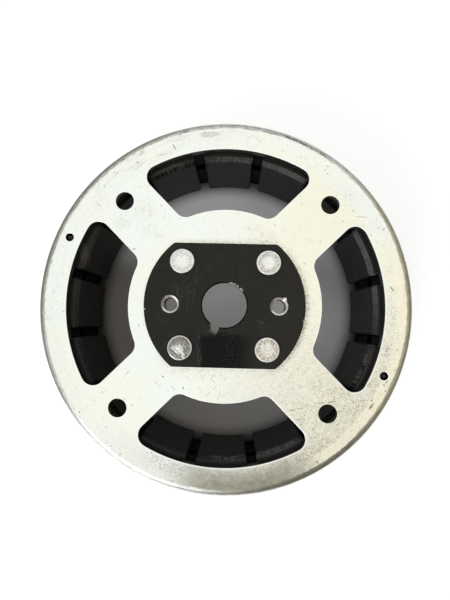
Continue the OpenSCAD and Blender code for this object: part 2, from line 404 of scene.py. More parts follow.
def wobbled(tree, place, amount, scale):
    """The same place shifted by up to amount mm, so that the edge of a mark wanders."""
    drift = add(tree, "ShaderNodeTexNoise", {"Vector": place, "Scale": scale, "Detail": 3.0})
    centred = add(tree, "ShaderNodeVectorMath", {0: drift.outputs["Color"], 1: (0.5, 0.5, 0.5)},
                  operation="SUBTRACT")
    shift = add(tree, "ShaderNodeVectorMath", {0: centred, "Scale": amount * MM * 2},
                operation="SCALE")
    return add(tree, "ShaderNodeVectorMath", {0: place, 1: shift}, operation="ADD")


def mark_on(tree, name):
    """A mark that the mesh carries on its vertices."""
    return add(tree, "ShaderNodeAttribute", attribute_name=name).outputs["Fac"]


def tint(tree, factor, first, second):
    """Goes from the first colour to the second as factor goes from 0 to 1."""
    node = add(tree, "ShaderNodeMix", data_type="RGBA")
    for key, value in (("Factor", factor), ("A", first), ("B", second)):
        plug(tree, next(s for s in node.inputs if s.name == key and s.enabled), value)
    return next(o for o in node.outputs if o.enabled)


def new_material(name):
    """An empty material: its tree, its shader and the place on the piece in metres."""
    material = bpy.data.materials.new(name)
    material.use_nodes = True
    tree = material.node_tree
    shader = tree.nodes["Principled BSDF"]
    place = add(tree, "ShaderNodeTexCoord").outputs["Object"]
    return material, tree, shader, place


def finish_shader(tree, shader, values, relief, strength, depth):
    """Gives a shader its values, and a fine relief of this strength and depth."""
    bump = add(tree, "ShaderNodeBump", {"Strength": strength, "Distance": depth,
                                        "Height": relief})
    for key, value in {**values, "Normal": bump}.items():
        plug(tree, shader.inputs[key], value)


def round_about(tree, place):
    """A place with its x, y and z, its radius and angle about Z, and itself measured round
    the axis."""
    axes = add(tree, "ShaderNodeSeparateXYZ", {0: place}).outputs
    flat = add(tree, "ShaderNodeCombineXYZ", {"X": axes["X"], "Y": axes["Y"]})
    radius = add(tree, "ShaderNodeVectorMath", {0: flat}, operation="LENGTH").outputs["Value"]
    angle = maths(tree, "ARCTAN2", axes["Y"], axes["X"])
    wrapped = add(tree, "ShaderNodeCombineXYZ",
                  {"X": maths(tree, "MULTIPLY", angle, YOKE_R), "Y": radius, "Z": axes["Z"]})
    return SimpleNamespace(place=place, x=axes["X"], y=axes["Y"], z=axes["Z"], radius=radius,
                           angle=angle, wrapped=wrapped)


def bearing(tree, at, degrees, reach):
    """1 at this bearing from the axis, falling to 0 at reach degrees to either side."""
    way = math.radians(degrees)
    along = maths(tree, "ADD", maths(tree, "MULTIPLY", at.x, math.cos(way)),
                  maths(tree, "MULTIPLY", at.y, math.sin(way)))
    return grade(tree, maths(tree, "DIVIDE", along, at.radius), math.cos(math.radians(reach)),
                 1.0)


def web_zones(tree, at, mottle):
    """Where the web is handled most: its front, its right and a strip along the rim."""
    loose = round_about(tree, wobbled(tree, wobbled(tree, at.place, 4.5, 70), 2.6, 480))
    front = times(tree, bearing(tree, loose, 277, 27), grade(tree, loose.radius, 0.0752, 0.0880))
    # the front stain is partly real and partly painted shade, a dark reflection of the room in
    # front
    stain_and_shade = times(tree, front, grade(tree, mottle, 0.30, 0.62, 0.78, 1.0))
    rim_strip = times(tree, grade(tree, at.radius, 0.0855, 0.0880),
                      grade(tree, bearing(tree, at, 338, 44), 0.0, 0.5))
    right = times(tree, grade(tree, at.x, 0.0, 0.06), grade(tree, at.y, 0.03, -0.05),
                  grade(tree, at.radius, 0.045, 0.075), grade(tree, rim_strip, 0, 1, 1.0, 0.1))
    return SimpleNamespace(front=front, stain_and_shade=stain_and_shade, rim_strip=rim_strip, right=right)


def plating_tone(tree, at, grit):
    """The plating itself: milky, in turns a little yellow and a little blue."""
    colour = tint(tree, grade(tree, grit.clouds, 0.40, 0.60), (0.905, 0.92, 0.83),
                  (0.885, 0.925, 0.875))
    back_rim = times(tree, grade(tree, at.radius, 0.079, 0.085),
                     grade(tree, bearing(tree, at, 72, 60), 0, 0.5))
    creamy = times(tree, grade(tree, at.x, -0.02, 0.05), maths(tree, "SUBTRACT", 1.0, back_rim))
    return tint(tree, creamy, colour, (0.905, 0.895, 0.745))


def stained(tree, at, grit, zones, colour):
    """Handled and stained towards the front and the lower right, and wiped in places; the dark
    stain at the front is partly painted shade.
    """
    colour = tint(tree, zones.rim_strip, colour, (0.96, 0.90, 0.72))
    colour = tint(tree, times(tree, zones.right, 0.5), colour, (0.86, 0.84, 0.70))
    # real stain and painted shade, dark at the front
    colour = tint(tree, zones.stain_and_shade, colour, (0.285, 0.275, 0.212))
    wiped = grade(tree, streaks(tree, at.place, 12, 60, 240, 5, 0.7), 0.54, 0.66)
    colour = tint(tree, times(tree, zones.front, wiped, 0.35), colour, (0.58, 0.56, 0.48))
    bright = times(tree, zones.front, grade(tree, at.radius, 0.0895, 0.0850),
                   grains(tree, at.place, 1500, 3, 0.7, 0.54, 0.61))
    colour = tint(tree, times(tree, bright, 0.80), colour, (0.82, 0.81, 0.76))
    # greyer towards the front left, and with flakes of grey next to the stain
    greyed = times(tree, bearing(tree, at, 252, 30), grade(tree, at.radius, 0.074, 0.084),
                   grade(tree, grit.grain, 0.36, 0.60, 0.12, 0.42),
                   grade(tree, zones.front, 0, 1, 1, 0))
    colour = tint(tree, greyed, colour, (0.66, 0.68, 0.66))
    flakes = times(tree, bearing(tree, at, 255, 15), grade(tree, at.radius, 0.078, 0.084),
                   grade(tree, at.radius, 0.0905, 0.0860), grade(tree, grit.specks, 0.44, 0.58))
    colour = tint(tree, times(tree, flakes, 0.50), colour, (0.36, 0.345, 0.29))
    # silver-grey below the hub and faint brushed streaks along the rim at the back left
    silvery = spot(tree, wobbled(tree, at.place, 8.0, 50), 14, -44, 60, 22, 8)
    colour = tint(tree, times(tree, silvery, 0.55), colour, (0.80, 0.81, 0.77))
    brushed = times(tree, bearing(tree, at, 118, 44), grade(tree, at.radius, 0.080, 0.088),
                    grade(tree, streaks(tree, at.wrapped, 0, 60, 700, 4, 0.65), 0.48, 0.64))
    return tint(tree, times(tree, brushed, 0.40), colour, (0.60, 0.62, 0.60))


def dirt_patches(tree, at, zones, pored):
    """Where dirt has gathered: thick on the lower right and round the hub, thin elsewhere."""
    beside_hub = times(tree, grade(tree, at.radius, 0.0465, 0.0415),
                       grade(tree, at.x, 0.004, 0.022))
    below_hub = times(tree, grade(tree, at.y, -0.040, -0.0325),
                      grade(tree, at.y, -0.020, -0.030), grade(tree, at.radius, 0.050, 0.036))
    left_cluster = strongest(tree, *[
        spot(tree, at.place, *mark)
        for mark in ((-42, 48, 17), (-53, 42, 13), (-40, 38, 11), (-34, 35, 9),
                     (-47, 77, 14, 7, 35))])
    back_right = strongest(tree, spot(tree, at.place, 62, 57, 30, 13, -40),
                           spot(tree, at.place, 70, 42, 24, 10, 10))
    dirty = strongest(tree, *[
        times(tree, zone, amount)
        for zone, amount in ((zones.right, 0.75), (zones.front, 0.8), (left_cluster, 0.7),
                             (beside_hub, 0.7), (below_hub, 0.7), (back_right, 0.45),
                             (pored, 0.55))])
    return times(tree, dirty, grains(tree, at.place, 420, 4, 0.7, 0.35, 0.60))


def specked(tree, at, grit, zones, patchy, pored, colour):
    """Fine brown specks and pores, as thick as the dirt is."""
    speck = times(tree, grade(tree, grit.specks, 0.50, 0.66), maths(tree, "ADD", patchy, 0.10))
    colour = tint(tree, times(tree, speck, 0.56), colour, (0.42, 0.375, 0.29))
    colour = tint(tree, times(tree, patchy, 0.16), colour, (0.50, 0.44, 0.34))
    pores = times(tree, grains(tree, at.place, 1600, 3, 0.7, 0.47, 0.60),
                  strongest(tree, times(tree, pored, 0.38), times(tree, zones.stain_and_shade, 0.26),
                            0.045))
    colour = tint(tree, pores, colour, (0.52, 0.46, 0.36))
    # peppered in clusters on the right
    right_rim = times(tree, bearing(tree, at, -4, 22), grade(tree, at.radius, 0.080, 0.083), 0.6)
    peppered = times(tree, grains(tree, at.place, 1350, 2, 0.6, 0.55, 0.60),
                     grains(tree, at.place, 150, 4, 0.65, 0.44, 0.58),
                     grade(tree, zones.rim_strip, 0, 1, 1.0, 0.5),
                     strongest(tree, grade(tree, zones.right, 0.1, 0.6), right_rim))
    colour = tint(tree, times(tree, peppered, 0.78), colour, (0.32, 0.285, 0.22))
    dots = grains(tree, at.place, 520, 1, 0.4, 0.745, 0.775)
    return tint(tree, times(tree, dots, 0.6), colour, (0.33, 0.31, 0.27))


def handling_marks(tree, at, ticks, colour):
    """Short ticks all over, and the scratches and nicks that stand out; returns the colour
    and the deep scratches."""
    colour = tint(tree, times(tree, ticks, 0.38), colour, (0.42, 0.41, 0.36))
    loose = wobbled(tree, at.place, 0.25, 350)
    deep = scratches(
        tree, loose, (73.0, -50.1, 75.5, -46.6, 0.9), (73.9, -46.0, 75.4, -44.6, 0.5),
        (52.2, -46.9, 57.1, -46.5, 0.35), (47.7, -47.6, 51.5, -47.2, 0.3),
        (33.5, -51.8, 36.8, -51.1, 0.35), (46.9, -76.0, 48.6, -76.9, 0.6),
        (-28.9, 83.3, -27.0, 79.8, 0.4), (82.9, 11.9, 85.2, 9.1, 0.5),
        (80.1, -37.4, 80.8, -38.3, 0.5), (80.9, -37.0, 82.7, -35.1, 0.5),
        (80.8, -20.9, 82.7, -19.0, 0.4), (-20.1, -41.0, -19.5, -42.8, 0.4),
        (-30.7, -36.0, -29.7, -36.9, 0.5))
    below_hub = scratches(
        tree, loose, (-10.5, -35.4, -10.2, -37.6, 0.4), (-13.0, -41.0, -9.6, -43.2, 0.4),
        (-26.4, -40.6, -23.4, -43.4, 0.4), (-34.6, -38.6, -31.2, -41.8, 0.4),
        (-16.0, -37.0, -18.8, -36.1, 0.4), (-47.0, -33.0, -49.9, -37.8, 0.5),
        (1.8, -35.2, 0.4, -38.6, 0.35), (-8.0, -46.0, -6.4, -43.1, 0.35))
    near_rim = scratches(
        tree, loose, (47.1, -72.4, 50.4, -67.8, 1.1), (-48.6, 68.4, -42.3, 74.0, 0.5),
        (-37.5, 76.7, -30.7, 78.3, 0.4), (-63.8, 61.5, -62.9, 58.7, 0.5),
        (-59.0, 68.6, -57.9, 66.2, 0.4), (-57.1, 68.3, -57.3, 66.0, 0.4),
        (-68.6, 52.4, -64.4, 49.2, 0.4), (64.9, -53.8, 67.2, -50.9, 0.6),
        (65.2, 47.1, 72.8, 46.6, 0.5), (67.4, -46.0, 73.5, -45.5, 0.4),
        (19.8, 34.0, 23.0, 32.1, 0.5), (-15.4, 87.6, -3.6, 88.9, 2.2),
        (-46.3, 76.9, -43.2, 79.6, 1.2))
    faint = strongest(
        tree, hairline(tree, loose, 0.4, (-4.0, -34.6), (-6.1, -36.9), (-5.1, -37.8),
                       (-3.8, -39.0), (-2.9, -39.9), (-3.8, -41.2), (-4.7, -42.4)),
        hairline(tree, loose, 0.4, (-1.2, -42.6), (-1.5, -44.8), (-2.1, -46.1), (-3.0, -47.3)),
        below_hub, near_rim)
    nicks = pits(tree, at.place, (-50.4, -75.3, 1.6), (-78.9, -49.8, 1.4), (-71.7, -55.2, 1.4),
                 (-55.0, -71.6, 1.2), (-23.7, -87.9, 1.6), (-7.1, -92.6, 1.6),
                 (-63.9, -67.6, 1.4), (-46.8, 73.0, 1.6), (51.0, 72.8, 1.2), (49.7, 70.8, 1.0),
                 (51.0, 68.9, 1.1), (79.8, 40.4, 1.2), (59.6, 44.4, 1.1), (24.7, 41.8, 1.3),
                 (81.2, -40.7, 1.6), (74.2, -54.1, 1.3), (62.6, 58.0, 1.2))
    breaks = grade(tree, noise(tree, at.place, 900, 2, 0.6), 0.34, 0.50, 0.35, 1.0)
    colour = tint(tree, times(tree, faint, breaks, 0.48), colour, (0.42, 0.385, 0.32))
    colour = tint(tree, times(tree, nicks, breaks, 0.62), colour, (0.22, 0.20, 0.165))
    colour = tint(tree, times(tree, deep, breaks, 0.85), colour, (0.20, 0.185, 0.15))
    colour = tint(tree, times(tree, pressed_rings(tree, at), breaks, 0.32),
                  hub_surround(tree, at, colour), (0.52, 0.51, 0.46))
    return colour, deep


def hub_surround(tree, at, colour):
    """A painted light band, a hair's breadth wide, along the front of the hub, with fine grime
    beyond it, most on the right.
    """
    off_hub = maths(tree, "MAXIMUM", maths(tree, "SUBTRACT", at.radius, FLANGE_R),
                    maths(tree, "SUBTRACT", maths(tree, "ABSOLUTE", at.y), FLANGE_HALF_W))
    beside = strongest(tree, bearing(tree, at, -8, 62),
                       times(tree, bearing(tree, at, 88, 50), 0.7), 0.12)
    grime = times(tree, beside, grade(tree, off_hub, 0.0036, 0.0008),
                  grains(tree, at.place, 1700, 3, 0.7, 0.42, 0.56))
    colour = tint(tree, times(tree, grime, 0.85), colour, (0.30, 0.265, 0.20))
    # painted light: a bright band a hair's breadth wide along the hub's front edge
    painted_light_band = times(tree, grade(tree, off_hub, 0.0008, 0.0005), grade(tree, at.y, 0.006, -0.006))
    return tint(tree, painted_light_band, colour, (0.97, 0.97, 0.93))


def pressed_rings(tree, at):
    """Two faint rings where a tube end was pressed on the plating."""
    rings = []
    for ring_x, ring_y, across in ((12.3, 84.9, 7.6), (42.6, 74.6, 6.2)):
        fall = spot(tree, at.place, ring_x, ring_y, across)
        rings.append(times(tree, grade(tree, fall, 0.06, 0.14), grade(tree, fall, 0.24, 0.16)))
    return strongest(tree, *rings)


def corner_colour(tree, at, rub):
    """The drawn corner: grey where it starts, darker over the edge and olive on the right, with
    rubbed streaks of dirt along it. It is painted lighter at the back and darker in front as
    painted reflections of the room, and bright at the front left as a painted highlight of the
    window light."""
    # painted highlight at the front left; painted reflection, lighter behind and darker in front
    painted_highlight = strongest(tree, bearing(tree, at, 212, 44), bearing(tree, at, 242, 46))
    behind = bearing(tree, at, 74, 44)
    in_front = bearing(tree, at, 298, 34)
    to_right = grade(tree, at.x, -0.03, 0.05)
    shoulder = tint(tree, to_right, (0.74, 0.745, 0.67), (0.74, 0.69, 0.48))
    shoulder = tint(tree, behind, shoulder, (0.88, 0.90, 0.85))
    shoulder = tint(tree, painted_highlight, shoulder, (0.95, 0.97, 0.95))
    shoulder = tint(tree, in_front, shoulder, (0.34, 0.325, 0.26))
    over = tint(tree, to_right, (0.218, 0.216, 0.182), (0.305, 0.288, 0.200))
    over = tint(tree, behind, over, (0.58, 0.59, 0.545))
    over = tint(tree, in_front, over, (0.30, 0.29, 0.235))
    # painted highlight over the edge at the front left
    over = tint(tree, bearing(tree, at, 250, 44), over, (0.90, 0.92, 0.90))
    colour = tint(tree, grade(tree, at.radius, 0.0924, 0.0940), shoulder, over)
    streaky = strongest(tree, times(tree, bearing(tree, at, 110, 70), 0.8), 0.5)
    colour = tint(tree, times(tree, grade(tree, rub, 0.46, 0.62), streaky), colour,
                  (0.17, 0.165, 0.14))
    colour = tint(tree, times(tree, grade(tree, rub, 0.46, 0.36), 0.45), colour,
                  (0.62, 0.61, 0.54))
    # fine pitting over the edge, thick at the back and on the right
    thick = strongest(tree, bearing(tree, at, 72, 52), times(tree, bearing(tree, at, 0, 50), 0.6),
                      times(tree, bearing(tree, at, 272, 16), 0.8), 0.25)
    pitted = times(tree, grade(tree, at.radius, 0.0926, 0.0936), thick,
                   grains(tree, at.place, 1300, 3, 0.75, 0.52, 0.62))
    colour = tint(tree, times(tree, pitted, 0.75), colour, (0.11, 0.105, 0.085))
    smear = times(tree, grade(tree, at.radius, 0.0918, 0.0923),
                  grade(tree, at.radius, 0.0936, 0.0929), bearing(tree, at, 66, 13),
                  grade(tree, rub, 0.40, 0.52))
    return tint(tree, times(tree, smear, 0.85), colour, (0.12, 0.115, 0.09))


def skirt_colour(tree, at, clouds):
    """The skirt, with fine upright marks of the drawing die."""
    draw_marks = streaks(tree, at.wrapped, 90, 18, 700, 4, 0.6)
    colour = tint(tree, grade(tree, draw_marks, 0.35, 0.65), (0.72, 0.715, 0.64),
                  (0.60, 0.595, 0.53))
    return tint(tree, grade(tree, clouds, 0.50, 0.72, 0.0, 0.5), colour, (0.52, 0.50, 0.43))


def zinc_plating():
    material, tree, shader, place = new_material("zinc_plating")
    at = round_about(tree, place)
    grit = SimpleNamespace(clouds=noise(tree, place, 42, 5, 0.6),
                           mottle=noise(tree, place, 260, 5, 0.7, 0.5),
                           grain=noise(tree, place, 1100, 3, 0.65),
                           specks=noise(tree, place, 1250, 3, 0.6),
                           rub=streaks(tree, at.wrapped, 0, 240, 1300, 5, 0.75))
    zones = web_zones(tree, at, grit.mottle)
    # the plating is more porous towards the lower right, and ticked all over in three ways
    pored = times(tree, grade(tree, at.x, -0.010, 0.035), grade(tree, at.y, 0.010, -0.030),
                  grade(tree, zones.rim_strip, 0, 1, 1.0, 0.35))
    patchy = dirt_patches(tree, at, zones, pored)
    ticks = strongest(tree, *[
        grade(tree, streaks(tree, place, degrees, 170, 1300, 2, 0.4), 0.735, 0.79)
        for degrees in (35, 80, 128)])
    colour = plating_tone(tree, at, grit)
    colour = stained(tree, at, grit, zones, colour)
    colour = specked(tree, at, grit, zones, patchy, pored, colour)
    colour, deep = handling_marks(tree, at, ticks, colour)
    corner_start = grade(tree, grit.mottle, 0.3, 0.7, -0.3 * MM, 0.3 * MM)
    corner = grade(tree, maths(tree, "ADD", at.radius, corner_start), 0.0913, 0.0919)
    colour = tint(tree, corner, colour, corner_colour(tree, at, grit.rub))
    skirt = times(tree, grade(tree, at.z, 0.0585, 0.0560), grade(tree, at.radius, 0.0935, 0.0945))
    colour = tint(tree, skirt, colour, skirt_colour(tree, at, grit.clouds))
    # painted highlight on the burnished rolled edges of the windows and locating holes
    colour = tint(tree, times(tree, mark_on(tree, "worn_edge"), 0.9), colour,
                  (0.95, 0.95, 0.92))
    # painted shade: the punched walls are painted dark and dull, as walls in shade, with a lighter
    # olive line on the burr at their lower edge
    burr = times(tree, grade(tree, at.z, WEB_UNDER + 1.2 * MM, WEB_UNDER),
                 grade(tree, grit.rub, 0.42, 0.56))
    wall = tint(tree, burr, (0.040, 0.038, 0.029), (0.34, 0.32, 0.22))
    colour = tint(tree, mark_on(tree, "cut_wall"), colour, wall)
    dull = strongest(tree, zones.stain_and_shade, patchy, corner)
    rough = maths(tree, "ADD", grade(tree, grit.mottle, 0.3, 0.7, 0.22, 0.30),
                  times(tree, dull, 0.08))
    relief = maths(tree, "SUBTRACT", grit.grain, times(tree, strongest(tree, deep, ticks), 1.5))
    finish_shader(tree, shader, {"Base Color": colour, "Metallic": 1.0, "Roughness": rough},
                  relief, 0.3, 0.05 * MM)
    return material


zinc = zinc_plating()
yoke.data.materials.append(zinc)
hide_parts("yoke_cup")
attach(yoke, "root")


# ---- Hub --------------------------------------------------------------------------------------
# A turned steel hub with a double-D flange that lies on the web. Its bore is a 1 in 5 taper with
# a broached keyway, and two tapped holes take a puller. Finished in black oxide, then oiled.

FLANGE_TOP = hub_high.z
BOSS_END = hub_low.z
FLANGE_CHAMFER = 0.5 * MM
FLANGE_CORNER = 0.7 * MM
FLANGE_EASE = 0.12 * MM
FLANGE_STEPS = 40
WORN_BAND = 0.25 * MM
BOSS_R = 21.6 * MM
BOSS_CHAMFER = 1 * MM
BOSS_EASE = 0.15 * MM
BORE_R = 11.0 * MM
BORE_CHAMFER = 0.6 * MM
BORE_END_CHAMFER = 0.4 * MM
BORE_EASE = 0.1 * MM
TAPER = 0.1
KEY_HALF_W = 2.5 * MM
KEY_FLOOR_R = 15.2 * MM
KEY_ANGLE = math.radians(-114)
SINK_R = 4.4 * MM
CHIP_ANGLE = math.radians(52)


def flange_outline(inset):
    """Outline of the double-D flange, its four corners eased, smaller all round by inset."""
    radius, half_w = FLANGE_R - inset, FLANGE_HALF_W - inset
    edge_a = math.asin(half_w / radius)
    right = arc((0, 0), radius, -edge_a, edge_a, FLANGE_STEPS)
    points = right + [-p for p in right]
    corners = (0, FLANGE_STEPS, FLANGE_STEPS + 1, 2 * FLANGE_STEPS + 1)
    result = []
    for i, point in enumerate(points):
        if i in corners:
            before, after = points[i - 1], points[(i + 1) % len(points)]
            result += bend(point + (before - point).normalized() * FLANGE_CORNER, point,
                           point + (after - point).normalized() * FLANGE_CORNER)
        else:
            result.append(point)
    return result


def bore_outline(radius):
    """Outline of the bore with its keyway, whose floor keeps its place as the bore widens."""
    gap = math.asin(KEY_HALF_W / radius)
    points = arc((0, 0), radius, gap, FULL_TURN - gap, 96)
    points += [Vector((KEY_FLOOR_R, KEY_HALF_W * (step / 3 - 1), 0)) for step in range(7)]
    return [Matrix.Rotation(KEY_ANGLE, 3, "Z") @ p for p in points]


def make_hub():
    bm = new_bmesh("worn_edge")
    base = YOKE_TOP
    flange = eased([(0, base), (0, FLANGE_TOP - FLANGE_CHAMFER), (FLANGE_CHAMFER, FLANGE_TOP),
                    (2 * MM, FLANGE_TOP)], FLANGE_EASE)[:-1]
    sides = [loop(bm, flange_outline(inset), z, worn_edge=1.0) for inset, z in flange]
    sides.append(loop(bm, flange_outline(FLANGE_CHAMFER + WORN_BAND), FLANGE_TOP))
    skin(bm, sides)
    # the chamfer is black like the flange, the taper below it is bare
    bore, chamfer_loops = [], 0
    mouth_r = BORE_R + TAPER * (FLANGE_TOP - BOSS_END - BORE_END_CHAMFER)
    for radius, z in eased([(BORE_R + BORE_CHAMFER + 1 * MM, FLANGE_TOP),
                            (BORE_R + BORE_CHAMFER, FLANGE_TOP),
                            (BORE_R + TAPER * BORE_CHAMFER, FLANGE_TOP - BORE_CHAMFER),
                            (mouth_r, BOSS_END + BORE_END_CHAMFER),
                            (mouth_r + BORE_END_CHAMFER, BOSS_END),
                            (mouth_r + BORE_END_CHAMFER + 1 * MM, BOSS_END)], BORE_EASE)[1:-1]:
        bore.append(loop(bm, bore_outline(radius), z))
        chamfer_loops += z > FLANGE_TOP - BORE_CHAMFER
    skin(bm, bore[:chamfer_loops + 1])
    skin(bm, bore[chamfer_loops:], finish=2)
    boss = [loop(bm, circle((0, 0), r, 128), z)
            for r, z in eased([(BOSS_R, base), (BOSS_R, BOSS_END + BOSS_CHAMFER),
                               (BOSS_R - BOSS_CHAMFER, BOSS_END), (BOSS_R - 2 * MM, BOSS_END)],
                              BOSS_EASE)[:-1]]
    skin(bm, boss)
    ends = [tapped_wall(bm, (side * PULLER_R, 0), FLANGE_TOP, base, SINK_R, chip_at)
            for side, chip_at in ((-1, None), (1, CHIP_ANGLE))]
    for a in DIAGONALS:
        outline = hole(RIVET_R, a, RIVET_HOLE_R, RIVET_HOLE_STEPS)
        ends.append([loop(bm, outline(0), z) for z in (FLANGE_TOP, base)])
        skin(bm, ends[-1])
    tops, unders = zip(*ends)
    lid(bm, [sides[-1], bore[0], *tops])
    lid(bm, [sides[0], boss[0], *unders])
    lid(bm, [boss[-1], bore[-1]])
    return finish_mesh(bm, "black_hub")


hub = make_hub()
keep_flats_flat(hub)


def black_oxide():
    material, tree, shader, place = new_material("black_oxide")
    at = round_about(tree, place)
    smudge = noise(tree, place, 110, 5, 0.6, 0.8)
    loose = wobbled(tree, place, 3.0, 130)
    colour = tint(tree, grade(tree, smudge, 0.40, 0.72), (0.0205, 0.0208, 0.0176),
                  (0.0280, 0.0275, 0.0235))
    # wiping marks left of the bore, a browner bloom on the lower right
    short = wobbled(tree, place, 1.2, 220)
    wiped = times(tree, spot(tree, loose, -19, 7, 32, 20, 75, FLANGE_TOP), strongest(tree, *[
        grade(tree, streaks(tree, short, degrees, 260, 1100, 3, 0.6), 0.54, 0.66)
        for degrees in (118, 75)]))
    swirl = times(tree, spot(tree, loose, 19, -9, 26, 16, -35, FLANGE_TOP),
                  grade(tree, streaks(tree, short, -40, 180, 700, 3, 0.6), 0.52, 0.66))
    colour = tint(tree, strongest(tree, wiped, swirl), colour, (0.058, 0.056, 0.049))
    bloom = grade(tree, spot(tree, loose, 31, -4, 40, 62, 0, FLANGE_TOP), 0.0, 0.7)
    colour = tint(tree, times(tree, bloom, 0.6), colour, (0.031, 0.027, 0.020))
    colour, oil = oiled(tree, at, colour)
    # painted shade: the chamfer of the bore is painted near-black, as a dark reflection
    painted_dark_chamfer = times(tree, grade(tree, at.radius, 0.0119, 0.0116),
                     grade(tree, at.z, FLANGE_TOP - 0.9 * MM, FLANGE_TOP - 0.7 * MM))
    colour = tint(tree, painted_dark_chamfer, colour, (0.0035, 0.0035, 0.0033))
    # bright where the corners are knocked, and with nicks and painted glints on the bore's chamfer
    # at the upper right
    knocks = times(tree, mark_on(tree, "worn_edge"),
                   grains(tree, place, 260, 4, 0.7, 0.66, 0.72))
    chamfer_nicks_and_glints = times(tree, grade(tree, at.radius, 0.0108, 0.0111),
                grade(tree, at.radius, 0.0121, 0.0118),
                grade(tree, at.z, FLANGE_TOP - 0.9 * MM, FLANGE_TOP - 0.5 * MM),
                grade(tree, at.angle, 0.60, 0.85), grade(tree, at.angle, 1.48, 1.32),
                grains(tree, place, 420, 4, 0.7, 0.44, 0.56))
    nick = grade(tree, spot(tree, place, -40.0, -2.8, 1.8, 1.4, 0, FLANGE_TOP), 0.1, 0.4)
    bare = strongest(tree, knocks, chamfer_nicks_and_glints, nick)
    colour = tint(tree, bare, colour, (0.58, 0.58, 0.55))
    rough = maths(tree, "SUBTRACT", grade(tree, smudge, 0.3, 0.7, 0.36, 0.48),
                  times(tree, oil, 0.16))
    finish_shader(tree, shader, {"Base Color": colour, "Metallic": bare, "Roughness": rough,
                                 "Specular IOR Level": 0.1},
                  noise(tree, place, 1500, 3, 0.6), 0.2, 0.04 * MM)
    return material


def oiled(tree, at, colour):
    """Wet oil below the bore, with light flecks in it and a pale edge where it creeps;
    returns the colour and the oil."""
    ragged = round_about(tree, wobbled(tree, wobbled(tree, at.place, 2.4, 110), 1.0, 420))
    oil = times(tree, grade(tree, ragged.x, -0.0128, -0.0098),
                grade(tree, ragged.x, 0.0150, 0.0060), grade(tree, ragged.y, -0.0125, -0.0165),
                grade(tree, noise(tree, at.place, 260, 4, 0.7), 0.30, 0.50, 0.80, 1.0),
                grade(tree, at.z, FLANGE_TOP - 1.0 * MM, FLANGE_TOP - 0.6 * MM))
    flecks = times(tree, grains(tree, at.place, 1000, 3, 0.7, 0.52, 0.64), oil,
                   grade(tree, at.x, -0.006, 0.004, 0.25, 0.9))
    creep = wobbled(tree, at.place, 0.4, 300)
    wet_edge = strongest(
        tree, hairline(tree, creep, 0.42, (-11.6, -14.0), (-12.5, -18.0), (-12.9, -22.0),
                       (-12.3, -26.0), (-11.4, -30.3), height=FLANGE_TOP),
        hairline(tree, creep, 0.36, (-12.6, -20.4), (-11.2, -24.2), (-10.4, -28.6),
                 height=FLANGE_TOP))
    colour = tint(tree, times(tree, oil, 0.95), colour, (0.0008, 0.0016, 0.0018))
    colour = tint(tree, flecks, colour, (0.026, 0.027, 0.025))
    return tint(tree, times(tree, wet_edge, 0.75), colour, (0.056, 0.055, 0.048)), oil


def cut_steel():
    """Countersinks and threads, machined after blackening and left bare."""
    material, tree, shader, place = new_material("cut_steel")
    rust = noise(tree, place, 900, 4, 0.65)
    colour = tint(tree, grade(tree, rust, 0.42, 0.66), (0.90, 0.90, 0.88), (0.66, 0.63, 0.55))
    # browner and darker on the left side of each countersink
    left_side = strongest(tree, *[spot(tree, place, side * PULLER_R / MM - 3.6, 0.8, 6.0, 7.5, 0,
                                       FLANGE_TOP) for side in (-1, 1)])
    colour = tint(tree, grade(tree, left_side, 0.05, 0.5), colour, (0.36, 0.335, 0.27))
    in_thread = grade(tree, round_about(tree, place).z, FLANGE_TOP - 1.1 * MM,
                      FLANGE_TOP - 1.5 * MM)
    colour = tint(tree, in_thread, colour, (0.86, 0.83, 0.75))
    finish_shader(tree, shader, {"Base Color": colour, "Metallic": 1.0,
                                 "Roughness": grade(tree, rust, 0.3, 0.7, 0.20, 0.32)},
                  noise(tree, place, 1800, 2, 0.5), 0.3, 0.05 * MM)
    return material


def bored_steel():
    """The taper and the keyway, finished last: bare, with fine turning marks."""
    material, tree, shader, place = new_material("bored_steel")
    turned = streaks(tree, round_about(tree, place).wrapped, 0, 60, 2400, 3, 0.6)
    colour = tint(tree, grade(tree, turned, 0.35, 0.65), (0.33, 0.31, 0.275),
                  (0.26, 0.245, 0.21))
    finish_shader(tree, shader, {"Base Color": colour, "Metallic": 1.0, "Roughness": 0.42},
                  turned, 0.3, 0.04 * MM)
    return material


for finish in (black_oxide(), cut_steel(), bored_steel()):
    hub.data.materials.append(finish)
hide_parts("hub")
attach(hub, "root")


# ---- Rivets -----------------------------------------------------------------------------------
# Four cold-headed steel rivets hold the hub to the web. Each flat head is bright where the
# punch struck it, and the other end is pressed into a low cone inside the cup.

HEAD_R = 6.1 * MM
HEAD_H = 1.4 * MM
HEAD_TOP = FLANGE_TOP + HEAD_H
HEAD_EASE = 0.45 * MM
DISH_R = 4.8 * MM
DISH_H = 0.3 * MM
SHANK_R = 4.0 * MM
TAIL_R = 5.6 * MM
TAIL_H = 2.6 * MM
TAIL_MIDDLE_R = 0.4 * MM


